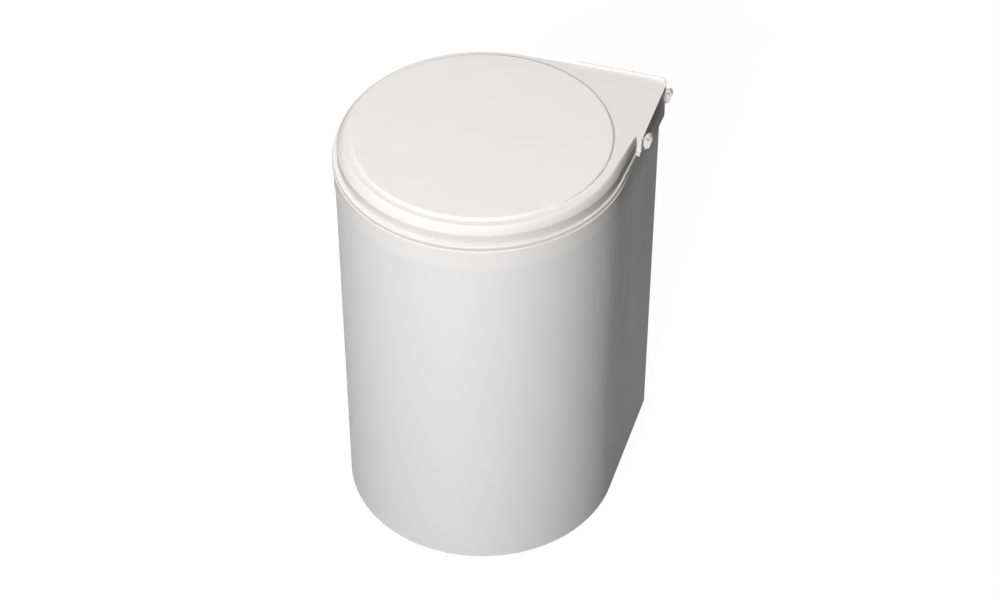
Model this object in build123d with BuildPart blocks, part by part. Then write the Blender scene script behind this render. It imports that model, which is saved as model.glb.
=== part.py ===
"""Built-in swing-out waste bin: a round steel shell with one square corner, a plastic collar and hinged lid,
a lift-out bucket with a bail, and a steel wall plate on which the whole bin swings out of its cupboard.

Millimetres, +Z up. The origin is the centre of the round shell on its underside. The lid hinge runs along
the +X side, and the wall plate stands behind the +Y side.
"""

import os
from math import acos, atan2, cos, hypot, pi, radians, sin, sqrt

from build123d import *

os.makedirs("parts", exist_ok=True)

# Shell and floor pan
BODY_RADIUS = 134.0
BODY_CORNER_RADIUS = 3.0
SHELL_WALL = 1.0
PAN_THICKNESS = 1.2
PAN_FLANGE = 12.0
PAN_FIT = 0.1

# Collar on the shell's top edge
COLLAR_TOP = 397.5
COLLAR_HEIGHT = 22.5
COLLAR_DECK = 5.0
COLLAR_WALL = 1.0
COLLAR_FIT = 0.15
COLLAR_MOUTH_INSET = 5.5
COLLAR_SKIRT_WALL = 2.0
COLLAR_SKIRT_DEPTH = 10.0
COLLAR_BEAD = 1.0
COLLAR_BEAD_HEIGHT = 2.2
COLLAR_CORNER_PROUD_X = 4.0
COLLAR_CORNER_PROUD_Y = 6.0
COLLAR_CORNER_RADIUS = 6.0
COLLAR_EDGE_FILLET = 0.9

# Square corner shared by the lid and the collar: how far it reaches along each side
CORNER_LENGTH_X = 82.0
CORNER_LENGTH_Y = 92.0

# Lid frame
LID_GAP = 2.0
LID_HEIGHT = 20.0
LID_WALL = 2.2
LID_INSET = 2.0
LID_SHIFT = 1.0
LID_SIDE_FLARE = 3.2
LID_SHOULDER_WIDTH = 6.2
LID_SHOULDER_HEIGHT = 7.3
LID_SHOULDER_BOW = 1.7
LID_SHOULDER_TAPER = 1.2
LID_SHOULDER_STEPS = 8
LID_TOP_SHIFT = 1.5
LID_BEAD = 3.4
LID_BEAD_HEIGHT = 2.4
LID_BEAD_FILLET = 1.2
LID_SIDE_BEAD = 1.4
LID_REAR_SET = 6.0
LID_SIDE_RUN_IN = 6.0
LID_CORNER_PROUD_X = 5.4
LID_CORNER_PROUD_Y = -3.0
LID_CORNER_RADIUS = 8.0
LID_PLATE_OVERHANG = 1.2
LID_PLATE_EDGE = 3.0
LID_RIB_WIDTH = 1.4
LID_RIB_HEIGHT = 2.4
LID_RIB_FILLET = 0.4
LID_FOOT_LENGTH = 4.0
LID_FOOT_HEIGHT = 2.8
LID_STIFFENER_RADII = (46.0, 84.0)
LID_STIFFENER_WIDTH = 1.8
LID_STIFFENER_DEPTH = 4.0

# Round panel on the lid
PANEL_MARGIN = 5.9
PANEL_HEIGHT = 2.4
PANEL_SKIN = 1.6
PANEL_RIM = 4.0
PANEL_EDGE_FILLET = 2.0
PEG_COUNT = 4
PEG_INSET = 24.0
PEG_RADIUS = 3.0
PEG_LENGTH = 4.5
PEG_FIT = 0.1

# Lid hinge: eyelets on the lid turn on pins held in posts on the collar
LID_AXIS_OUT = 4.0
LID_AXIS_DROP = 8.0
LUG_FRONT_SET = 9.0
LUG_REAR_SET = 8.6
LUG_WIDTH = 4.0
LUG_TOP_RISE = 4.6
LUG_TOP_REACH = 0.9
LUG_NOSE_REACH = 4.2
LUG_NOSE_RISE = 0.2
LUG_FOOT_REACH = 1.2
LUG_FOOT_DROP = 10.4
LUG_HEEL_DROP = 9.0
LUG_HEEL_RISE = 2.5
LID_PIN_RADIUS = 1.6
LID_PIN_RUNNING_FIT = 0.05
LID_PIN_RECESS = 1.6
PRESS_FIT = 0.02
POST_GAP = 0.3
POST_WIDTH = 2.6
POST_HEAD_RADIUS = 2.7
POST_DEPTH = 6.0
POST_LID_GAP = 0.8
POST_FOOT_REACH = 0.8
POST_FOOT_RISE = 2.0

# Soft buffers under the lid
BUFFER_ANGLES = (140.0, 190.0, 240.0, 290.0, 340.0)
BUFFER_RADIUS = 1.8
BUFFER_CLEARANCE = 0.1
BUFFER_STEM_RADIUS = 1.1
BUFFER_STEM_FIT = 0.05

# Lift-out bucket
BUCKET_HEADROOM = 69.0
BUCKET_MOUTH_CLEARANCE = 5.5
BUCKET_TAPER = 9.0
BUCKET_WALL = 2.0
BUCKET_BASE_FILLET = 8.0
BUCKET_RIM_REACH = 5.0
BUCKET_RIM_THICKNESS = 3.0
BUCKET_RIM_LIP = 8.0
EAR_THICKNESS = 5.0
EAR_PIVOT_RISE = 6.0
EAR_ROUND_RADIUS = 6.0

# Bail: a steel wire with a plastic grip
BAIL_WIRE_RADIUS = 2.0
BAIL_RUNNING_FIT = 0.06
BAIL_REACH = 58.0
BAIL_BAR_INSET = 26.0
BAIL_STUB = 7.0
BAIL_STUB_PROUD = 1.5
BAIL_BEND = 6.0
GRIP_LENGTH = 96.0
GRIP_RADIUS = 7.0
GRIP_END_FILLET = 2.5

# Swing hinge between the bin and its wall plate
PIVOT_INSET = 10.0
KNUCKLE_RADIUS = 6.0
KNUCKLE_SHELL_GAP = 0.4
PIVOT_PIN_RADIUS = 3.0
PIVOT_RUNNING_FIT = 0.05
BUSH_WALL = 1.2
BUSH_FLANGE = 1.2
BUSH_AXIAL_GAP = 0.15
LOWER_HINGE_HEIGHT = 62.0
UPPER_HINGE_DROP = 57.0
LEAF_KNUCKLE = 26.0
WALL_KNUCKLE = 14.0
PIVOT_PIN_HEAD = 2.0
PIVOT_PIN_HEAD_RADIUS = 4.6
LEAF_THICKNESS = 2.0
LEAF_HEIGHT = 46.0
LEAF_LENGTH = 53.0
LEAF_CORNER_RADIUS = 5.0
RIVET_RADIUS = 2.0
RIVET_HEAD_RADIUS = 4.0
RIVET_HEAD = 1.4
RIVET_EDGE = 11.0
RIVET_FIT = 0.05

# Wall plate
WALL_PLATE_THICKNESS = 2.5
WALL_PLATE_WIDTH = 159.0
WALL_PLATE_KNUCKLE_GAP = 3.0
WALL_PLATE_MARGIN = 40.0
WALL_PLATE_CORNER_RADIUS = 9.0
SCREW_HOLE_RADIUS = 2.7
SCREW_EDGE_X = 22.0
SCREW_EDGE_Z = 96.0
STOP_INSET = 103.0
STOP_RADIUS = 7.0
STOP_CLEARANCE = 0.3
STOP_STEM_RADIUS = 2.5
STOP_EDGE_Z = 40.0

# Levels and reaches that follow from the sizes above
COLLAR_BOTTOM = COLLAR_TOP - COLLAR_HEIGHT
DECK_BOTTOM = COLLAR_TOP - COLLAR_DECK
SHELL_TOP = DECK_BOTTOM - COLLAR_FIT
COLLAR_REACH = BODY_RADIUS + COLLAR_FIT + COLLAR_WALL
COLLAR_MOUTH_RADIUS = BODY_RADIUS - COLLAR_MOUTH_INSET
COLLAR_CORNER_X = BODY_RADIUS + COLLAR_CORNER_PROUD_X
COLLAR_CORNER_Y = BODY_RADIUS + COLLAR_CORNER_PROUD_Y
CORNER_START_X = BODY_RADIUS - CORNER_LENGTH_X
CORNER_START_Y = BODY_RADIUS - CORNER_LENGTH_Y
LID_BOTTOM = COLLAR_TOP + LID_GAP
LID_TOP = LID_BOTTOM + LID_HEIGHT
LID_RADIUS = BODY_RADIUS - LID_INSET
LID_FLAT_RADIUS = LID_RADIUS - LID_SHOULDER_WIDTH
LID_SIDE_REACH = LID_RADIUS + LID_SIDE_FLARE
LID_CORNER_REACH_X = BODY_RADIUS + LID_CORNER_PROUD_X
LID_CORNER_REACH_Y = BODY_RADIUS + LID_CORNER_PROUD_Y
LID_AXIS_X = LID_CORNER_REACH_X + LID_AXIS_OUT
LID_AXIS_Z = LID_TOP - LID_AXIS_DROP
LUG_POSITIONS = (CORNER_START_Y + LUG_FRONT_SET, LID_CORNER_REACH_Y - LUG_REAR_SET)
PANEL_RADIUS = LID_FLAT_RADIUS - PANEL_MARGIN
PEG_CIRCLE_RADIUS = PANEL_RADIUS - PEG_INSET
BUCKET_RIM_HEIGHT = COLLAR_TOP - BUCKET_HEADROOM
BUCKET_TOP_RADIUS = COLLAR_MOUTH_RADIUS - BUCKET_MOUTH_CLEARANCE - BUCKET_RIM_REACH
BUCKET_BASE_RADIUS = BUCKET_TOP_RADIUS - BUCKET_TAPER
BAIL_BAR_HALF = BUCKET_TOP_RADIUS - BAIL_BAR_INSET
PIVOT_X = BODY_RADIUS - PIVOT_INSET
PIVOT_Y = BODY_RADIUS + KNUCKLE_SHELL_GAP + KNUCKLE_RADIUS
HINGE_HEIGHTS = (LOWER_HINGE_HEIGHT, COLLAR_BOTTOM - UPPER_HINGE_DROP)
WALL_PLANE_Y = PIVOT_Y + KNUCKLE_RADIUS
PLATE_FACE_Y = WALL_PLANE_Y - WALL_PLATE_THICKNESS
WALL_PLATE_RIGHT = PIVOT_X - KNUCKLE_RADIUS - WALL_PLATE_KNUCKLE_GAP
WALL_PLATE_LEFT = WALL_PLATE_RIGHT - WALL_PLATE_WIDTH
WALL_PLATE_BOTTOM = HINGE_HEIGHTS[0] - WALL_PLATE_MARGIN
WALL_PLATE_TOP = HINGE_HEIGHTS[1] + WALL_PLATE_MARGIN
LEAF_INNER_X = WALL_PLATE_RIGHT - LEAF_LENGTH
STOP_X = WALL_PLATE_RIGHT - STOP_INSET


def upright(y):
    """Sketch plane that stands at y: its x is +X and its y is +Z, and it faces -Y."""
    return Plane(origin=(0, y, 0), x_dir=(1, 0, 0), z_dir=(0, -1, 0))


def sideways(x):
    """Sketch plane that stands at x: its x is +Y and its y is +Z, and it faces +X."""
    return Plane(origin=(x, 0, 0), x_dir=(0, 1, 0), z_dir=(1, 0, 0))


def square_cornered_round(reach, corner):
    """Circle of radius reach whose +X +Y quarter is filled out to a square corner."""
    with BuildSketch(mode=Mode.PRIVATE) as outline:
        Circle(reach)
        with Locations((reach / 2, reach / 2)):
            Rectangle(reach, reach)
        fillet(outline.vertices().sort_by(lambda v: v.X + v.Y)[-1], corner)
    return outline.sketch


def corner_block(inset=0, overhang=0):
    """Corner of the lid, from where the corner starts to its two outer sides, inset on every side.

    overhang widens it on the hinge side."""
    width = LID_CORNER_REACH_X + overhang - CORNER_START_X
    depth = LID_CORNER_REACH_Y - CORNER_START_Y
    with BuildSketch(mode=Mode.PRIVATE) as block:
        with Locations((CORNER_START_X + width / 2, CORNER_START_Y + depth / 2)):
            Rectangle(width - 2 * inset, depth - 2 * inset)
        fillet(block.vertices().sort_by(lambda v: v.X + v.Y)[-1], LID_CORNER_RADIUS - inset)
    return block.sketch


def collar_block():
    """Corner of the collar, whose two sides lean outwards from the round part and end proud of the shell."""
    with BuildSketch(mode=Mode.PRIVATE) as block:
        with BuildLine():
            Polyline(
                (0, 0),
                (COLLAR_REACH, 0),
                (COLLAR_CORNER_X, COLLAR_CORNER_Y),
                (0, COLLAR_REACH),
                close=True,
            )
        make_face()
        fillet(block.vertices().sort_by(lambda v: v.X + v.Y)[-1], COLLAR_CORNER_RADIUS)
    return block.sketch


def lid_section(radius, side, height, shift=0):
    """Outline of the round part of the lid: an arc that runs tangent into both sides of the square corner.

    side is how far out the straight stretch lies where the corner starts. Both run on into the corner.
    shift moves the arc's centre towards the hinge side."""
    right = (side - shift, CORNER_START_Y)
    rear = (CORNER_START_X - shift, side - LID_REAR_SET)
    turn_right = atan2(right[1], right[0]) - acos(radius / hypot(*right))
    turn_rear = atan2(rear[1], rear[0]) + acos(radius / hypot(*rear))
    turn_middle = (turn_right + turn_rear) / 2 + pi
    start, middle, end = [(radius * cos(t), radius * sin(t)) for t in (turn_right, turn_middle, turn_rear)]
    run_right = sqrt(hypot(*right) ** 2 - radius**2) + LID_SIDE_RUN_IN
    run_rear = sqrt(hypot(*rear) ** 2 - radius**2) + LID_SIDE_RUN_IN
    right_end = (start[0] - run_right * sin(turn_right), start[1] + run_right * cos(turn_right))
    rear_end = (end[0] + run_rear * sin(turn_rear), end[1] - run_rear * cos(turn_rear))
    with BuildSketch(Plane((shift, 0, height), x_dir=(1, 0, 0)), mode=Mode.PRIVATE) as section:
        with BuildLine():
            Line(end, rear_end)
            Line(rear_end, right_end)
            Line(right_end, start)
            ThreePointArc(start, middle, end)
        make_face()
    return section.sketch


def lid_body(inset, bottom, top):
    """Round part of the lid, inset from its outer surface: a straight skirt and a shoulder.

    The shoulder leaves the skirt at a crease, and bows over into the flat top."""
    sections = [lid_section(LID_RADIUS - inset, LID_SIDE_REACH - inset, bottom, LID_SHIFT)]
    for step in range(LID_SHOULDER_STEPS + 1):
        out = 1 - step / LID_SHOULDER_STEPS
        radius = LID_FLAT_RADIUS - inset + LID_SHOULDER_WIDTH * out
        side = LID_SIDE_REACH - inset - LID_SHOULDER_TAPER * (1 - out)
        height = top - LID_SHOULDER_HEIGHT * out**LID_SHOULDER_BOW
        sections.append(lid_section(radius, side, height, LID_SHIFT + LID_TOP_SHIFT * (1 - out)))
    return loft(sections, ruled=True)


def lid_lip():
    """Lip around the foot of the lid's skirt, narrower where it runs into the square corner."""
    with BuildPart(mode=Mode.PRIVATE) as lip:
        with BuildSketch(Plane.XY.offset(LID_BOTTOM)):
            add(lid_section(LID_RADIUS + LID_BEAD, LID_SIDE_REACH + LID_SIDE_BEAD, 0))
        extrude(amount=LID_BEAD_HEIGHT)
        fillet(lip.faces().sort_by(Axis.Z)[-1].edges().filter_by(GeomType.CIRCLE), LID_BEAD_FILLET)
    return lip.part


body_outline = square_cornered_round(BODY_RADIUS, BODY_CORNER_RADIUS)
body_inside = square_cornered_round(BODY_RADIUS - SHELL_WALL, BODY_CORNER_RADIUS - SHELL_WALL)
rivet_places = [
    (x, height + side * (LEAF_HEIGHT / 2 - RIVET_EDGE))
    for height in HINGE_HEIGHTS
    for side in (-1, 1)
    for x in (LEAF_INNER_X + RIVET_EDGE, WALL_PLATE_RIGHT - RIVET_EDGE)
]

with BuildPart() as outer_shell:
    with BuildSketch():
        add(body_outline)
        add(body_inside, mode=Mode.SUBTRACT)
    extrude(amount=SHELL_TOP)
    with BuildSketch(upright(BODY_RADIUS)):
        with Locations(*rivet_places):
            Circle(RIVET_RADIUS + RIVET_FIT)
    extrude(amount=SHELL_WALL, mode=Mode.SUBTRACT)

pan_reach = BODY_RADIUS - SHELL_WALL - PAN_FIT
pan_corner = BODY_CORNER_RADIUS - SHELL_WALL - PAN_FIT
with BuildPart() as floor_pan:
    with BuildSketch():
        add(square_cornered_round(pan_reach, pan_corner))
    extrude(amount=PAN_FLANGE)
    with BuildSketch(Plane.XY.offset(PAN_THICKNESS)):
        add(square_cornered_round(pan_reach - PAN_THICKNESS, pan_corner - PAN_THICKNESS))
    extrude(amount=PAN_FLANGE - PAN_THICKNESS, mode=Mode.SUBTRACT)

lug_backs = [place + LUG_WIDTH / 2 for place in LUG_POSITIONS]
buffer_places = [
    (LID_SHIFT + (LID_RADIUS - LID_WALL / 2) * cos(radians(a)), (LID_RADIUS - LID_WALL / 2) * sin(radians(a)))
    for a in BUFFER_ANGLES
]

with BuildPart() as collar:
    with BuildSketch(Plane.XY.offset(COLLAR_BOTTOM)):
        add(square_cornered_round(COLLAR_REACH, COLLAR_CORNER_RADIUS))
        add(collar_block())
    extrude(amount=COLLAR_HEIGHT)
    with BuildSketch(Plane.XY.offset(COLLAR_TOP - COLLAR_BEAD_HEIGHT)):
        add(square_cornered_round(COLLAR_REACH + COLLAR_BEAD, COLLAR_CORNER_RADIUS))
    extrude(amount=COLLAR_BEAD_HEIGHT)
    top_edges = collar.faces().sort_by(Axis.Z)[-1].edges()
    fillet(top_edges, COLLAR_EDGE_FILLET)
    with BuildSketch(Plane.XY.offset(COLLAR_BOTTOM)):
        add(square_cornered_round(BODY_RADIUS + COLLAR_FIT, BODY_CORNER_RADIUS + COLLAR_FIT))
    extrude(amount=COLLAR_HEIGHT - COLLAR_DECK, mode=Mode.SUBTRACT)
    with BuildSketch(Plane.XY.offset(DECK_BOTTOM - COLLAR_SKIRT_DEPTH)):
        Circle(COLLAR_MOUTH_RADIUS + COLLAR_SKIRT_WALL)
    extrude(amount=COLLAR_SKIRT_DEPTH)
    with BuildSketch(Plane.XY.offset(COLLAR_BOTTOM)):
        Circle(COLLAR_MOUTH_RADIUS)
    extrude(amount=COLLAR_HEIGHT, mode=Mode.SUBTRACT)
    for back in lug_backs:
        with BuildSketch(upright(back + POST_GAP)):
            with Locations((LID_AXIS_X, LID_AXIS_Z)):
                Circle(POST_HEAD_RADIUS)
            with BuildLine():
                Polyline(
                    (LID_AXIS_X - LID_AXIS_OUT + POST_LID_GAP, LID_AXIS_Z),
                    (LID_AXIS_X + POST_HEAD_RADIUS, LID_AXIS_Z),
                    (LID_AXIS_X + POST_FOOT_REACH, COLLAR_TOP + POST_FOOT_RISE),
                    (COLLAR_REACH, COLLAR_TOP - POST_DEPTH),
                    (COLLAR_REACH, COLLAR_TOP - COLLAR_EDGE_FILLET),
                    (LID_AXIS_X - LID_AXIS_OUT + POST_LID_GAP, COLLAR_TOP - COLLAR_EDGE_FILLET),
                    close=True,
                )
            make_face()
        extrude(amount=-POST_WIDTH)
        with BuildSketch(upright(back + POST_GAP)):
            with Locations((LID_AXIS_X, LID_AXIS_Z)):
                Circle(LID_PIN_RADIUS + PRESS_FIT)
        extrude(amount=-POST_WIDTH, mode=Mode.SUBTRACT)
    with BuildSketch(Plane.XY.offset(DECK_BOTTOM)):
        with Locations(*buffer_places):
            Circle(BUFFER_STEM_RADIUS + BUFFER_STEM_FIT)
    extrude(amount=COLLAR_DECK, mode=Mode.SUBTRACT)

lid_pin_length = LUG_WIDTH - LID_PIN_RECESS + POST_GAP + POST_WIDTH
with BuildPart() as lid_pins:
    for back in lug_backs:
        with BuildSketch(upright(back - LUG_WIDTH + LID_PIN_RECESS)):
            with Locations((LID_AXIS_X, LID_AXIS_Z)):
                Circle(LID_PIN_RADIUS)
        extrude(amount=-lid_pin_length)

with BuildPart() as lid_buffers:
    with BuildSketch(Plane.XY.offset(COLLAR_TOP)):
        with Locations(*buffer_places):
            Circle(BUFFER_RADIUS)
    extrude(amount=LID_GAP - BUFFER_CLEARANCE)
    with BuildSketch(Plane.XY.offset(DECK_BOTTOM)):
        with Locations(*buffer_places):
            Circle(BUFFER_STEM_RADIUS)
    extrude(amount=COLLAR_DECK)

peg_turns = [2 * pi * (i + 0.5) / PEG_COUNT for i in range(PEG_COUNT)]
peg_places = [(LID_SHIFT + PEG_CIRCLE_RADIUS * cos(t), PEG_CIRCLE_RADIUS * sin(t)) for t in peg_turns]

lug_corners = [
    (LID_CORNER_REACH_X, LID_AXIS_Z + LUG_HEEL_RISE),
    (LID_AXIS_X + LUG_TOP_REACH, LID_AXIS_Z + LUG_TOP_RISE),
    (LID_AXIS_X + LUG_NOSE_REACH, LID_AXIS_Z + LUG_NOSE_RISE),
    (LID_AXIS_X + LUG_FOOT_REACH, LID_AXIS_Z - LUG_FOOT_DROP),
    (LID_CORNER_REACH_X, LID_AXIS_Z - LUG_HEEL_DROP),
]
stiffener_top = LID_TOP - LID_WALL

with BuildPart() as lid_frame:
    add(lid_body(0, LID_BOTTOM, LID_TOP))
    with BuildSketch(Plane.XY.offset(LID_BOTTOM)):
        add(corner_block())
    extrude(amount=LID_HEIGHT)
    with BuildSketch(Plane.XY.offset(LID_TOP - LID_PLATE_EDGE)):
        add(corner_block(overhang=LID_PLATE_OVERHANG))
    extrude(amount=LID_PLATE_EDGE)
    with BuildSketch(Plane.XY.offset(LID_TOP)):
        add(corner_block(overhang=LID_PLATE_OVERHANG))
        add(corner_block(LID_RIB_WIDTH, LID_PLATE_OVERHANG), mode=Mode.SUBTRACT)
        with Locations((CORNER_START_X, LID_CORNER_REACH_Y - LID_RIB_WIDTH - BODY_RADIUS / 2)):
            Rectangle(BODY_RADIUS, BODY_RADIUS, mode=Mode.SUBTRACT)
        with Locations((LID_CORNER_REACH_X, LID_CORNER_REACH_Y - LID_CORNER_RADIUS - BODY_RADIUS / 2)):
            Rectangle(BODY_RADIUS, BODY_RADIUS, mode=Mode.SUBTRACT)
    extrude(amount=LID_RIB_HEIGHT)
    fillet(lid_frame.faces().sort_by(Axis.Z)[-1].edges(), LID_RIB_FILLET)
    with BuildSketch(Plane.XY.offset(LID_BOTTOM)):
        with Locations(((LID_SIDE_REACH + LID_CORNER_REACH_X) / 2, CORNER_START_Y)):
            Rectangle(LID_CORNER_REACH_X - LID_SIDE_REACH, 2 * LID_FOOT_LENGTH)
    extrude(amount=LID_FOOT_HEIGHT)
    add(lid_lip())
    add(lid_body(LID_WALL, LID_BOTTOM, LID_TOP - LID_WALL), mode=Mode.SUBTRACT)
    with BuildSketch(Plane.XY.offset(LID_BOTTOM)):
        add(corner_block(LID_WALL))
    extrude(amount=LID_HEIGHT - LID_WALL, mode=Mode.SUBTRACT)
    with BuildSketch(Plane.XY.offset(stiffener_top)):
        with Locations((LID_SHIFT, 0)):
            for radius in LID_STIFFENER_RADII:
                Circle(radius + LID_STIFFENER_WIDTH / 2)
                Circle(radius - LID_STIFFENER_WIDTH / 2, mode=Mode.SUBTRACT)
    extrude(amount=-LID_STIFFENER_DEPTH)
    for place in LUG_POSITIONS:
        with BuildSketch(upright(place - LUG_WIDTH / 2)):
            with BuildLine():
                Polyline(*lug_corners, close=True)
            make_face()
        extrude(amount=-LUG_WIDTH)
        with BuildSketch(upright(place - LUG_WIDTH / 2)):
            with Locations((LID_AXIS_X, LID_AXIS_Z)):
                Circle(LID_PIN_RADIUS + LID_PIN_RUNNING_FIT)
        extrude(amount=-LUG_WIDTH, mode=Mode.SUBTRACT)
    with BuildSketch(Plane.XY.offset(LID_TOP)):
        with Locations(*peg_places):
            Circle(PEG_RADIUS + PEG_FIT)
    extrude(amount=-LID_WALL, mode=Mode.SUBTRACT)

with BuildPart() as lid_panel:
    with BuildSketch(Plane.XY.offset(LID_TOP)):
        with Locations((LID_SHIFT, 0)):
            Circle(PANEL_RADIUS)
    extrude(amount=PANEL_HEIGHT)
    fillet(lid_panel.faces().sort_by(Axis.Z)[-1].edges(), PANEL_EDGE_FILLET)
    with BuildSketch(Plane.XY.offset(LID_TOP)):
        with Locations((LID_SHIFT, 0)):
            Circle(PANEL_RADIUS - PANEL_RIM)
    extrude(amount=PANEL_HEIGHT - PANEL_SKIN, mode=Mode.SUBTRACT)
    with BuildSketch(Plane.XY.offset(LID_TOP - PEG_LENGTH)):
        with Locations(*peg_places):
            Circle(PEG_RADIUS)
    extrude(amount=PEG_LENGTH + PANEL_HEIGHT - PANEL_SKIN)

ear_x = BUCKET_TOP_RADIUS - BUCKET_WALL
bail_height = BUCKET_RIM_HEIGHT + EAR_PIVOT_RISE
rim_outer = BUCKET_TOP_RADIUS + BUCKET_RIM_REACH
with BuildPart() as inner_bucket:
    with BuildSketch(upright(0)):
        with BuildLine():
            Polyline(
                (0, PAN_THICKNESS),
                (BUCKET_BASE_RADIUS, PAN_THICKNESS),
                (BUCKET_TOP_RADIUS, BUCKET_RIM_HEIGHT),
                (0, BUCKET_RIM_HEIGHT),
                close=True,
            )
        make_face()
    revolve(axis=Axis.Z)
    fillet(inner_bucket.faces().sort_by(Axis.Z)[0].edges(), BUCKET_BASE_FILLET)
    with BuildSketch(Plane.XY.offset(BUCKET_RIM_HEIGHT - BUCKET_RIM_LIP)):
        Circle(rim_outer)
    extrude(amount=BUCKET_RIM_LIP)
    with BuildSketch(Plane.XY.offset(BUCKET_RIM_HEIGHT - BUCKET_RIM_LIP)):
        Circle(rim_outer - BUCKET_WALL)
        Circle(BUCKET_TOP_RADIUS, mode=Mode.SUBTRACT)
    extrude(amount=BUCKET_RIM_LIP - BUCKET_RIM_THICKNESS, mode=Mode.SUBTRACT)
    for side in (-1, 1):
        with BuildSketch(sideways(side * (ear_x + EAR_THICKNESS / 2))):
            with Locations((0, bail_height)):
                Circle(EAR_ROUND_RADIUS)
            with Locations((0, bail_height - EAR_PIVOT_RISE / 2 - BUCKET_RIM_THICKNESS / 2)):
                Rectangle(2 * EAR_ROUND_RADIUS, EAR_PIVOT_RISE + BUCKET_RIM_THICKNESS)
        extrude(amount=EAR_THICKNESS / 2, both=True)
    with BuildSketch(upright(0)) as bucket_inside:
        with BuildLine():
            Polyline(
                (0, PAN_THICKNESS + BUCKET_WALL),
                (BUCKET_BASE_RADIUS - BUCKET_WALL, PAN_THICKNESS + BUCKET_WALL),
                (BUCKET_TOP_RADIUS - BUCKET_WALL, BUCKET_RIM_HEIGHT),
                (0, BUCKET_RIM_HEIGHT),
                close=True,
            )
        make_face()
        base_corner = bucket_inside.vertices().group_by(Axis.Y)[0].sort_by(Axis.X)[-1]
        fillet(base_corner, BUCKET_BASE_FILLET - BUCKET_WALL)
    revolve(axis=Axis.Z, mode=Mode.SUBTRACT)
    with BuildSketch(sideways(-rim_outer)):
        with Locations((0, bail_height)):
            Circle(BAIL_WIRE_RADIUS + BAIL_RUNNING_FIT)
    extrude(amount=2 * rim_outer, mode=Mode.SUBTRACT)

stub_end = ear_x + EAR_THICKNESS + BAIL_STUB_PROUD
stub_start = ear_x - BAIL_STUB
with BuildPart() as bail_wire:
    with BuildLine(Plane.XY.offset(bail_height)) as bail_path:
        FilletPolyline(
            (stub_end, 0),
            (stub_start, 0),
            (BAIL_BAR_HALF, -BAIL_REACH),
            (-BAIL_BAR_HALF, -BAIL_REACH),
            (-stub_start, 0),
            (-stub_end, 0),
            radius=BAIL_BEND,
        )
    with BuildSketch(Plane(origin=(stub_end, 0, bail_height), z_dir=(-1, 0, 0))):
        Circle(BAIL_WIRE_RADIUS)
    sweep()

with BuildPart() as bail_grip:
    with BuildSketch(Plane(origin=(-GRIP_LENGTH / 2, -BAIL_REACH, bail_height), z_dir=(1, 0, 0))):
        Circle(GRIP_RADIUS)
    extrude(amount=GRIP_LENGTH)
    fillet(bail_grip.edges().filter_by(GeomType.CIRCLE), GRIP_END_FILLET)
    with BuildSketch(Plane(origin=(-GRIP_LENGTH / 2, -BAIL_REACH, bail_height), z_dir=(1, 0, 0))):
        Circle(BAIL_WIRE_RADIUS + PRESS_FIT)
    extrude(amount=GRIP_LENGTH, mode=Mode.SUBTRACT)

bush_outer = PIVOT_PIN_RADIUS + PIVOT_RUNNING_FIT + BUSH_WALL
knuckle_gap = BUSH_FLANGE + BUSH_AXIAL_GAP
wall_knuckle_start = LEAF_KNUCKLE / 2 + knuckle_gap


def hinge_leaf(height):
    """Leaf flat on the shell's rear wall, with one knuckle around the swing axis."""
    with BuildPart(mode=Mode.PRIVATE) as leaf:
        with BuildSketch(upright(BODY_RADIUS)):
            with Locations(((LEAF_INNER_X + WALL_PLATE_RIGHT) / 2, height)):
                RectangleRounded(WALL_PLATE_RIGHT - LEAF_INNER_X, LEAF_HEIGHT, LEAF_CORNER_RADIUS)
            with Locations(((WALL_PLATE_RIGHT + PIVOT_X) / 2 - LEAF_CORNER_RADIUS / 2, height)):
                Rectangle(PIVOT_X - WALL_PLATE_RIGHT + LEAF_CORNER_RADIUS, LEAF_KNUCKLE)
        extrude(amount=-LEAF_THICKNESS)
        with BuildSketch(Plane.XY.offset(height - LEAF_KNUCKLE / 2)):
            with Locations((PIVOT_X, PIVOT_Y)):
                Circle(KNUCKLE_RADIUS)
        extrude(amount=LEAF_KNUCKLE)
        with BuildSketch(Plane.XY.offset(height - LEAF_KNUCKLE / 2)):
            with Locations((PIVOT_X, PIVOT_Y)):
                Circle(bush_outer + PRESS_FIT)
        extrude(amount=LEAF_KNUCKLE, mode=Mode.SUBTRACT)
        with BuildSketch(upright(BODY_RADIUS)):
            with Locations(*rivet_places):
                Circle(RIVET_RADIUS + RIVET_FIT)
        extrude(amount=-LEAF_THICKNESS, mode=Mode.SUBTRACT)
    return leaf.part


with BuildPart() as lower_leaf:
    add(hinge_leaf(HINGE_HEIGHTS[0]))

with BuildPart() as upper_leaf:
    add(hinge_leaf(HINGE_HEIGHTS[1]))

with BuildPart() as leaf_rivets:
    with BuildSketch(upright(BODY_RADIUS - SHELL_WALL - RIVET_HEAD)):
        with Locations(*rivet_places):
            Circle(RIVET_HEAD_RADIUS)
    extrude(amount=-RIVET_HEAD)
    with BuildSketch(upright(BODY_RADIUS - SHELL_WALL)):
        with Locations(*rivet_places):
            Circle(RIVET_RADIUS)
    extrude(amount=-(SHELL_WALL + LEAF_THICKNESS))
    with BuildSketch(upright(BODY_RADIUS + LEAF_THICKNESS)):
        with Locations(*rivet_places):
            Circle(RIVET_HEAD_RADIUS)
    extrude(amount=-RIVET_HEAD)

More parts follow.
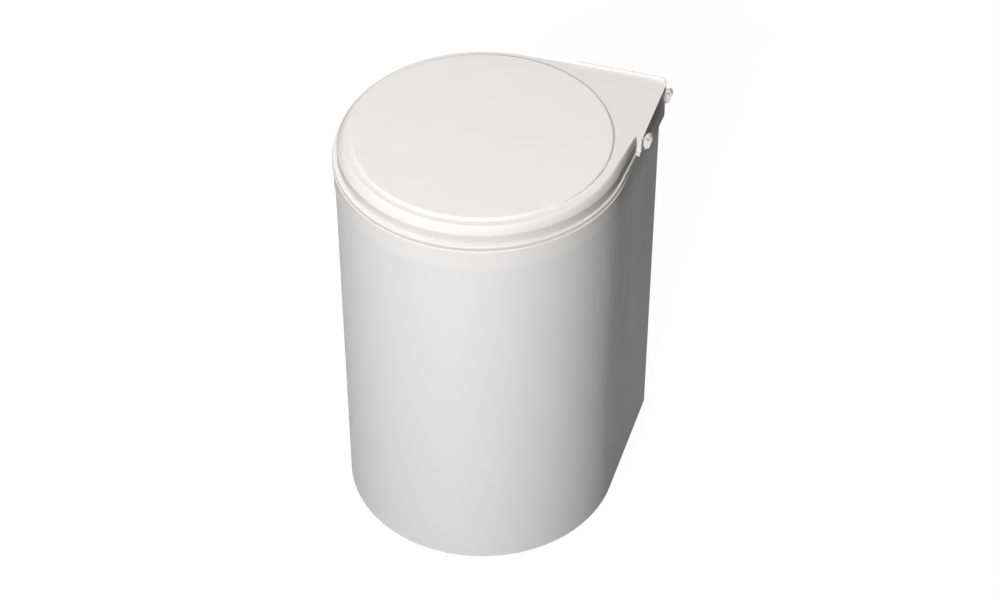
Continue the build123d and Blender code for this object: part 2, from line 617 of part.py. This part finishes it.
with BuildPart() as pivot_bushes:
    for height in HINGE_HEIGHTS:
        for side in (-1, 1):
            seat = height + side * LEAF_KNUCKLE / 2
            with BuildSketch(Plane.XY.offset(seat)):
                with Locations((PIVOT_X, PIVOT_Y)):
                    Circle(KNUCKLE_RADIUS)
                    Circle(PIVOT_PIN_RADIUS + PIVOT_RUNNING_FIT, mode=Mode.SUBTRACT)
            extrude(amount=side * BUSH_FLANGE)
            with BuildSketch(Plane.XY.offset(seat)):
                with Locations((PIVOT_X, PIVOT_Y)):
                    Circle(bush_outer)
                    Circle(PIVOT_PIN_RADIUS + PIVOT_RUNNING_FIT, mode=Mode.SUBTRACT)
            extrude(amount=-side * LEAF_KNUCKLE / 3)

wall_width = WALL_PLATE_RIGHT - WALL_PLATE_LEFT
wall_height = WALL_PLATE_TOP - WALL_PLATE_BOTTOM
wall_middle = ((WALL_PLATE_LEFT + WALL_PLATE_RIGHT) / 2, (WALL_PLATE_BOTTOM + WALL_PLATE_TOP) / 2)
stop_places = [(STOP_X, WALL_PLATE_BOTTOM + STOP_EDGE_Z), (STOP_X, WALL_PLATE_TOP - STOP_EDGE_Z)]
knuckle_middles = [
    height + side * (wall_knuckle_start + WALL_KNUCKLE / 2) for height in HINGE_HEIGHTS for side in (-1, 1)
]
with BuildPart() as wall_plate:
    with BuildSketch(upright(WALL_PLANE_Y)):
        with Locations(wall_middle):
            RectangleRounded(wall_width, wall_height, WALL_PLATE_CORNER_RADIUS)
        for middle in knuckle_middles:
            with Locations(((WALL_PLATE_RIGHT + PIVOT_X) / 2 - WALL_PLATE_CORNER_RADIUS / 2, middle)):
                Rectangle(PIVOT_X - WALL_PLATE_RIGHT + WALL_PLATE_CORNER_RADIUS, WALL_KNUCKLE)
    extrude(amount=WALL_PLATE_THICKNESS)
    for middle in knuckle_middles:
        with BuildSketch(Plane.XY.offset(middle - WALL_KNUCKLE / 2)):
            with Locations((PIVOT_X, PIVOT_Y)):
                Circle(KNUCKLE_RADIUS)
        extrude(amount=WALL_KNUCKLE)
        with BuildSketch(Plane.XY.offset(middle - WALL_KNUCKLE / 2)):
            with Locations((PIVOT_X, PIVOT_Y)):
                Circle(PIVOT_PIN_RADIUS + PRESS_FIT)
        extrude(amount=WALL_KNUCKLE, mode=Mode.SUBTRACT)
    with BuildSketch(upright(WALL_PLANE_Y)):
        with Locations(wall_middle):
            with GridLocations(wall_width - 2 * SCREW_EDGE_X, wall_height - 2 * SCREW_EDGE_Z, 2, 2):
                Circle(SCREW_HOLE_RADIUS)
        with Locations(*stop_places):
            Circle(STOP_STEM_RADIUS + PRESS_FIT)
    extrude(amount=WALL_PLATE_THICKNESS, mode=Mode.SUBTRACT)

with BuildPart() as swing_stops:
    with BuildSketch(upright(WALL_PLANE_Y)):
        with Locations(*stop_places):
            Circle(STOP_STEM_RADIUS)
    extrude(amount=WALL_PLATE_THICKNESS)
    with BuildSketch(upright(PLATE_FACE_Y)):
        with Locations(*stop_places):
            Circle(STOP_RADIUS)
    extrude(amount=PLATE_FACE_Y - BODY_RADIUS - STOP_CLEARANCE)


def pivot_pin(height):
    """Headed pin pressed into the two wall knuckles of one hinge."""
    reach = wall_knuckle_start + WALL_KNUCKLE
    with BuildPart(mode=Mode.PRIVATE) as pin:
        with BuildSketch(Plane.XY.offset(height - reach)):
            with Locations((PIVOT_X, PIVOT_Y)):
                Circle(PIVOT_PIN_RADIUS)
        extrude(amount=2 * reach)
        with BuildSketch(Plane.XY.offset(height + reach)):
            with Locations((PIVOT_X, PIVOT_Y)):
                Circle(PIVOT_PIN_HEAD_RADIUS)
        extrude(amount=PIVOT_PIN_HEAD)
    return pin.part


with BuildPart() as lower_pivot_pin:
    add(pivot_pin(HINGE_HEIGHTS[0]))

with BuildPart() as upper_pivot_pin:
    add(pivot_pin(HINGE_HEIGHTS[1]))

subparts = {
    "outer_shell": outer_shell,
    "floor_pan": floor_pan,
    "collar": collar,
    "lid_pins": lid_pins,
    "lid_buffers": lid_buffers,
    "lid_frame": lid_frame,
    "lid_panel": lid_panel,
    "inner_bucket": inner_bucket,
    "bail_wire": bail_wire,
    "bail_grip": bail_grip,
    "lower_leaf": lower_leaf,
    "upper_leaf": upper_leaf,
    "leaf_rivets": leaf_rivets,
    "pivot_bushes": pivot_bushes,
    "wall_plate": wall_plate,
    "swing_stops": swing_stops,
    "lower_pivot_pin": lower_pivot_pin,
    "upper_pivot_pin": upper_pivot_pin,
}
for label, subpart in subparts.items():
    subpart.part.label = label
    export_step(subpart.part, f"parts/{label}.step")
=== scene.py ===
from math import radians

import bpy
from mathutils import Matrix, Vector

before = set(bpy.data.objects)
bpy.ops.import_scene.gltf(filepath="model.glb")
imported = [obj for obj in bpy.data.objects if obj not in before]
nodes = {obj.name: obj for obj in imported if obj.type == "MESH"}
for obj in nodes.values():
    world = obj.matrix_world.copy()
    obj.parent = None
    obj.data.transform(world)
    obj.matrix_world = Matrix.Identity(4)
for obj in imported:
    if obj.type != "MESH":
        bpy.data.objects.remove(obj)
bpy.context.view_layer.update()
scene = bpy.context.scene


# Base colours
WHITE_PAINT = (0.854, 0.855, 0.860)
WARM_WHITE = (0.820, 0.795, 0.771)
COLLAR_WHITE = (0.902, 0.888, 0.868)
SILICONE_WHITE = (0.62, 0.62, 0.61)
BUCKET_GREY = (0.42, 0.43, 0.44)
GRIP_WHITE = (0.70, 0.69, 0.67)
NYLON_WHITE = (0.74, 0.72, 0.64)
ZINC_GREY = (0.60, 0.61, 0.63)
ALUMINIUM_GREY = (0.70, 0.71, 0.72)
RUBBER_BLACK = (0.022, 0.022, 0.024)
# Painted light: the lid panel is the lid's warm white plastic made lighter, so its upward face reads
# brighter
PANEL_PAINTED_LIGHT_TINT = 1.04

# Noise of each finish: scale per metre, detail, and a stretch where the finish has a direction
ENAMEL_DRIFT = {"scale": 9.0, "detail": 3.0, "stretch": (1, 1, 0.35)}
DRAW_MARKS = {"scale": 120.0, "detail": 5.0, "stretch": (1, 1, 0.02)}
ORANGE_PEEL = {"scale": 620.0, "detail": 2.0}
MOULDING_DRIFT = {"scale": 14.0, "detail": 3.0}
MOULDING_GLOSS = {"scale": 45.0, "detail": 4.0}
ZINC_MOTTLE = {"scale": 160.0, "detail": 6.0, "roughness": 0.65}
ROLLING_LINES = {"scale": 380.0, "detail": 4.0, "stretch": (1, 1, 0.04)}
RUBBER_BLOOM = {"scale": 240.0, "detail": 6.0}
RUBBER_GRAIN = {"scale": 1400.0, "detail": 2.0}
GRAIN_DETAIL = 3.0

# Noise levels between which a value or a colour runs, and the tints at those levels
SPAN_LEVELS = (0.3, 0.7)
DRIFT_LEVELS = (0.35, 0.65)
DRIFT_TINTS = (0.988, 1.01)
MOTTLE_LEVELS = (0.3, 0.7)
MOTTLE_TINTS = (0.78, 1.12)
BLOOM_LEVELS = (0.4, 0.75)
BLOOM_TINT = 2.2

# Roughness ranges, sheen, and bumps as strength and depth in metres
ENAMEL_ROUGHNESS = (0.40, 0.50)
ENAMEL_SHEEN = 0.06
ORANGE_PEEL_BUMP = (0.10, 0.00035)
DRAW_MARK_BUMP = (0.05, 0.0004)
MOULDING_SHEEN = 0.012
MOULDING_ROUGHNESS_DOWN = 0.05
MOULDING_ROUGHNESS_UP = 0.06
GRAIN_DEPTH = 0.0002
ZINC_ROUGHNESS = (0.26, 0.46)
ROLLING_BUMP = (0.08, 0.0003)
RUBBER_ROUGHNESS = (0.62, 0.85)
RUBBER_BUMP = (0.2, 0.0002)

# Stage, in metres, degrees and watts
FLOOR_SIZE = 14
FLOOR_PLACE = (0, 2.0, -0.0005)
FLOOR_BOUNCE = (0.12, 0.12, 0.12, 1)
FLOOR_ROUGHNESS = 0.9
FLOOR_PALE = (0.85, 0.85, 0.85, 1)
FLOOR_GLOW = 1.05
FLOOR_GLOW_SHARE = 0.90
AMBIENT_COLOUR = (1.0, 0.995, 0.98, 1)
AMBIENT_STRENGTH = 0.012
BACKDROP_COLOUR = (1, 1, 1, 1)
BACKDROP_STRENGTH = 1.0
LAMPS = (
    {"name": "key_front", "place": (0.12, -2.7, 1.88), "target": (0, 0, 0.2), "size": 0.6, "power": 86.0},
    {"name": "top_soft", "place": (-0.3, 0.2, 2.6), "target": (0, 0, 0.4), "size": 1.4, "power": 27.0},
    {"name": "left_fill", "place": (-2.4, -0.4, 1.2), "target": (0, 0, 0.2), "size": 1.4, "power": 1.5},
    {"name": "back_fill", "place": (-0.5, 2.7, 0.4), "target": (0, 0.1, 0.2), "size": 0.8, "power": 34.0},
)
CAMERA_PLACE = (0.55421, -1.67089, 1.81583)
CAMERA_DIP = 42.24
CAMERA_TURN = 17.79
CAMERA_LENS_MM = 89.1
CAMERA_SENSOR_MM = 36.0


# Node-tree helpers

def new_material(name):
    """Empty node material with a Principled shader wired to its output."""
    mat = bpy.data.materials.new(name)
    mat.use_nodes = True
    tree = mat.node_tree
    tree.nodes.clear()
    out = tree.nodes.new("ShaderNodeOutputMaterial")
    shader = tree.nodes.new("ShaderNodeBsdfPrincipled")
    tree.links.new(shader.outputs["BSDF"], out.inputs["Surface"])
    return mat, tree, shader


def noise(tree, scale, detail, roughness=0.55, stretch=(1, 1, 1)):
    """Noise in object space, per metre, stretched along an axis where the finish has a direction."""
    coord = tree.nodes.new("ShaderNodeTexCoord")
    mapping = tree.nodes.new("ShaderNodeMapping")
    mapping.inputs["Scale"].default_value = stretch
    tex = tree.nodes.new("ShaderNodeTexNoise")
    tex.inputs["Scale"].default_value = scale
    tex.inputs["Detail"].default_value = detail
    tex.inputs["Roughness"].default_value = roughness
    tree.links.new(coord.outputs["Object"], mapping.inputs["Vector"])
    tree.links.new(mapping.outputs["Vector"], tex.inputs["Vector"])
    return tex.outputs["Fac"]


def colour_by(tree, shader, factor, levels, dark, light):
    """Base colour that runs from dark to light between two noise levels."""
    node = tree.nodes.new("ShaderNodeValToRGB")
    for element, level, colour in zip(node.color_ramp.elements, levels, (dark, light)):
        element.position = level
        element.color = (*colour, 1)
    tree.links.new(factor, node.inputs["Fac"])
    tree.links.new(node.outputs["Color"], shader.inputs["Base Color"])


def roughness_by(tree, shader, factor, low, high):
    """Roughness that runs from low to high with the noise."""
    node = tree.nodes.new("ShaderNodeMapRange")
    node.inputs["From Min"].default_value, node.inputs["From Max"].default_value = SPAN_LEVELS
    node.inputs["To Min"].default_value = low
    node.inputs["To Max"].default_value = high
    tree.links.new(factor, node.inputs["Value"])
    tree.links.new(node.outputs["Result"], shader.inputs["Roughness"])


def bump(tree, shader, height, strength, distance):
    """Adds a bump from a height factor, on top of any bump already there."""
    node = tree.nodes.new("ShaderNodeBump")
    node.inputs["Strength"].default_value = strength
    node.inputs["Distance"].default_value = distance
    tree.links.new(height, node.inputs["Height"])
    earlier = shader.inputs["Normal"].links
    if earlier:
        tree.links.new(earlier[0].from_socket, node.inputs["Normal"])
    tree.links.new(node.outputs["Normal"], shader.inputs["Normal"])


def tint(colour, factor):
    """Colour made lighter or darker by a factor, up to white."""
    return tuple(min(1.0, c * factor) for c in colour)


# Finishes

def enamel(name, colour):
    """Satin enamel on drawn sheet steel: orange peel, faint upright draw marks and slow drifts of tone."""
    mat, tree, shader = new_material(name)
    dark, light = (tint(colour, factor) for factor in DRIFT_TINTS)
    colour_by(tree, shader, noise(tree, **ENAMEL_DRIFT), DRIFT_LEVELS, dark, light)
    marks = noise(tree, **DRAW_MARKS)
    roughness_by(tree, shader, marks, *ENAMEL_ROUGHNESS)
    bump(tree, shader, noise(tree, **ORANGE_PEEL), *ORANGE_PEEL_BUMP)
    bump(tree, shader, marks, *DRAW_MARK_BUMP)
    shader.inputs["Specular IOR Level"].default_value = ENAMEL_SHEEN
    return mat


def moulding(name, colour, roughness=0.68, grain=1500.0, strength=0.12):
    """Moulded plastic: a fine spark-eroded grain, slow tone drift and slightly uneven gloss."""
    mat, tree, shader = new_material(name)
    dark, light = (tint(colour, factor) for factor in DRIFT_TINTS)
    colour_by(tree, shader, noise(tree, **MOULDING_DRIFT), DRIFT_LEVELS, dark, light)
    gloss = noise(tree, **MOULDING_GLOSS)
    roughness_by(tree, shader, gloss, roughness - MOULDING_ROUGHNESS_DOWN, roughness + MOULDING_ROUGHNESS_UP)
    bump(tree, shader, noise(tree, grain, GRAIN_DETAIL), strength, GRAIN_DEPTH)
    shader.inputs["Specular IOR Level"].default_value = MOULDING_SHEEN
    return mat


def zinc(name, colour):
    """Plated or bare bright metal: mottled tone, rolling lines and uneven gloss."""
    mat, tree, shader = new_material(name)
    dark, light = (tint(colour, factor) for factor in MOTTLE_TINTS)
    colour_by(tree, shader, noise(tree, **ZINC_MOTTLE), MOTTLE_LEVELS, dark, light)
    lines = noise(tree, **ROLLING_LINES)
    roughness_by(tree, shader, lines, *ZINC_ROUGHNESS)
    bump(tree, shader, lines, *ROLLING_BUMP)
    shader.inputs["Metallic"].default_value = 1.0
    return mat


def rubber(name, colour):
    """Black rubber with a dusty bloom."""
    mat, tree, shader = new_material(name)
    bloom = noise(tree, **RUBBER_BLOOM)
    colour_by(tree, shader, bloom, BLOOM_LEVELS, colour, tint(colour, BLOOM_TINT))
    roughness_by(tree, shader, bloom, *RUBBER_ROUGHNESS)
    bump(tree, shader, noise(tree, **RUBBER_GRAIN), *RUBBER_BUMP)
    return mat


white_paint = enamel("white_enamel", WHITE_PAINT)
warm_white = moulding("warm_white_moulding", WARM_WHITE)
collar_white = moulding("collar_white_moulding", COLLAR_WHITE, roughness=0.4)
silicone = moulding("white_silicone", SILICONE_WHITE, roughness=0.6)
# Lid panel: the lid frame's warm white with painted light, so the upward disc reads lighter
panel_white = moulding("panel_white_moulding", tint(WARM_WHITE, PANEL_PAINTED_LIGHT_TINT), grain=1900.0, strength=0.09)
bucket_grey = moulding("bucket_grey_moulding", BUCKET_GREY, roughness=0.5, grain=900.0, strength=0.18)
grip_white = moulding("grip_white_moulding", GRIP_WHITE, roughness=0.46)
nylon = moulding("natural_nylon", NYLON_WHITE, roughness=0.5)
zinc_steel = zinc("zinc_plated_steel", ZINC_GREY)
rivet_metal = zinc("rivet_aluminium", ALUMINIUM_GREY)
black_rubber = rubber("black_rubber", RUBBER_BLACK)

FINISHES = {
    "outer_shell": white_paint,
    "floor_pan": white_paint,
    "collar": collar_white,
    "lid_frame": warm_white,
    "lid_panel": panel_white,
    "lid_pins": zinc_steel,
    "lid_buffers": silicone,
    "inner_bucket": bucket_grey,
    "bail_wire": zinc_steel,
    "bail_grip": grip_white,
    "lower_leaf": zinc_steel,
    "upper_leaf": zinc_steel,
    "leaf_rivets": rivet_metal,
    "pivot_bushes": nylon,
    "wall_plate": zinc_steel,
    "swing_stops": black_rubber,
    "lower_pivot_pin": zinc_steel,
    "upper_pivot_pin": zinc_steel,
}
for name, finish in FINISHES.items():
    node = nodes[name]
    node.data.materials.clear()
    node.data.materials.append(finish)


# Stage: floor, world, lamps and camera

def white_when_seen(tree, shaded, white):
    """White where the camera, a reflection or a transmitted ray sees it, and shaded for all other light."""
    path = tree.nodes.new("ShaderNodeLightPath")
    seen = path.outputs["Is Camera Ray"]
    for ray in ("Is Glossy Ray", "Is Transmission Ray"):
        either = tree.nodes.new("ShaderNodeMath")
        either.operation = "MAXIMUM"
        tree.links.new(seen, either.inputs[0])
        tree.links.new(path.outputs[ray], either.inputs[1])
        seen = either.outputs[0]
    mix = tree.nodes.new("ShaderNodeMixShader")
    tree.links.new(seen, mix.inputs["Fac"])
    tree.links.new(shaded, mix.inputs[1])
    tree.links.new(white, mix.inputs[2])
    return mix.outputs["Shader"]


bpy.ops.mesh.primitive_plane_add(size=FLOOR_SIZE, location=FLOOR_PLACE)
floor = bpy.context.object
floor.name = "studio_floor"
floor_mat, floor_tree, floor_shader = new_material("studio_floor")
floor_shader.inputs["Base Color"].default_value = FLOOR_BOUNCE
floor_shader.inputs["Roughness"].default_value = FLOOR_ROUGHNESS
floor_pale = floor_tree.nodes.new("ShaderNodeBsdfDiffuse")
floor_pale.inputs["Color"].default_value = FLOOR_PALE
floor_glow = floor_tree.nodes.new("ShaderNodeEmission")
floor_glow.inputs["Strength"].default_value = FLOOR_GLOW
floor_seen = floor_tree.nodes.new("ShaderNodeMixShader")
floor_seen.inputs["Fac"].default_value = FLOOR_GLOW_SHARE
floor_tree.links.new(floor_pale.outputs["BSDF"], floor_seen.inputs[1])
floor_tree.links.new(floor_glow.outputs["Emission"], floor_seen.inputs[2])
floor_out = next(n for n in floor_tree.nodes if n.type == "OUTPUT_MATERIAL")
floor_tree.links.new(
    white_when_seen(floor_tree, floor_shader.outputs["BSDF"], floor_seen.outputs["Shader"]),
    floor_out.inputs["Surface"],
)
floor.data.materials.append(floor_mat)

world = bpy.data.worlds.new("studio_world")
scene.world = world
world.use_nodes = True
world_tree = world.node_tree
world_tree.nodes.clear()
world_out = world_tree.nodes.new("ShaderNodeOutputWorld")
ambient = world_tree.nodes.new("ShaderNodeBackground")
ambient.inputs["Color"].default_value = AMBIENT_COLOUR
ambient.inputs["Strength"].default_value = AMBIENT_STRENGTH
backdrop = world_tree.nodes.new("ShaderNodeBackground")
backdrop.inputs["Color"].default_value = BACKDROP_COLOUR
backdrop.inputs["Strength"].default_value = BACKDROP_STRENGTH
world_tree.links.new(
    white_when_seen(world_tree, ambient.outputs["Background"], backdrop.outputs["Background"]),
    world_out.inputs["Surface"],
)


def softbox(name, place, target, size, power):
    """Square area lamp that faces a target."""
    lamp = bpy.data.lights.new(name, "AREA")
    lamp.shape = "SQUARE"
    lamp.size = size
    lamp.energy = power
    holder = bpy.data.objects.new(name, lamp)
    scene.collection.objects.link(holder)
    holder.location = place
    holder.rotation_euler = (Vector(target) - Vector(place)).to_track_quat("-Z", "Y").to_euler()


for lamp_settings in LAMPS:
    softbox(**lamp_settings)

camera_data = bpy.data.cameras.new("camera")
camera_data.lens = CAMERA_LENS_MM
camera_data.sensor_width = CAMERA_SENSOR_MM
camera = bpy.data.objects.new("camera", camera_data)
scene.collection.objects.link(camera)
camera.location = CAMERA_PLACE
camera.rotation_euler = (radians(90 - CAMERA_DIP), 0, radians(CAMERA_TURN))
scene.camera = camera

scene.view_settings.view_transform = "Standard"
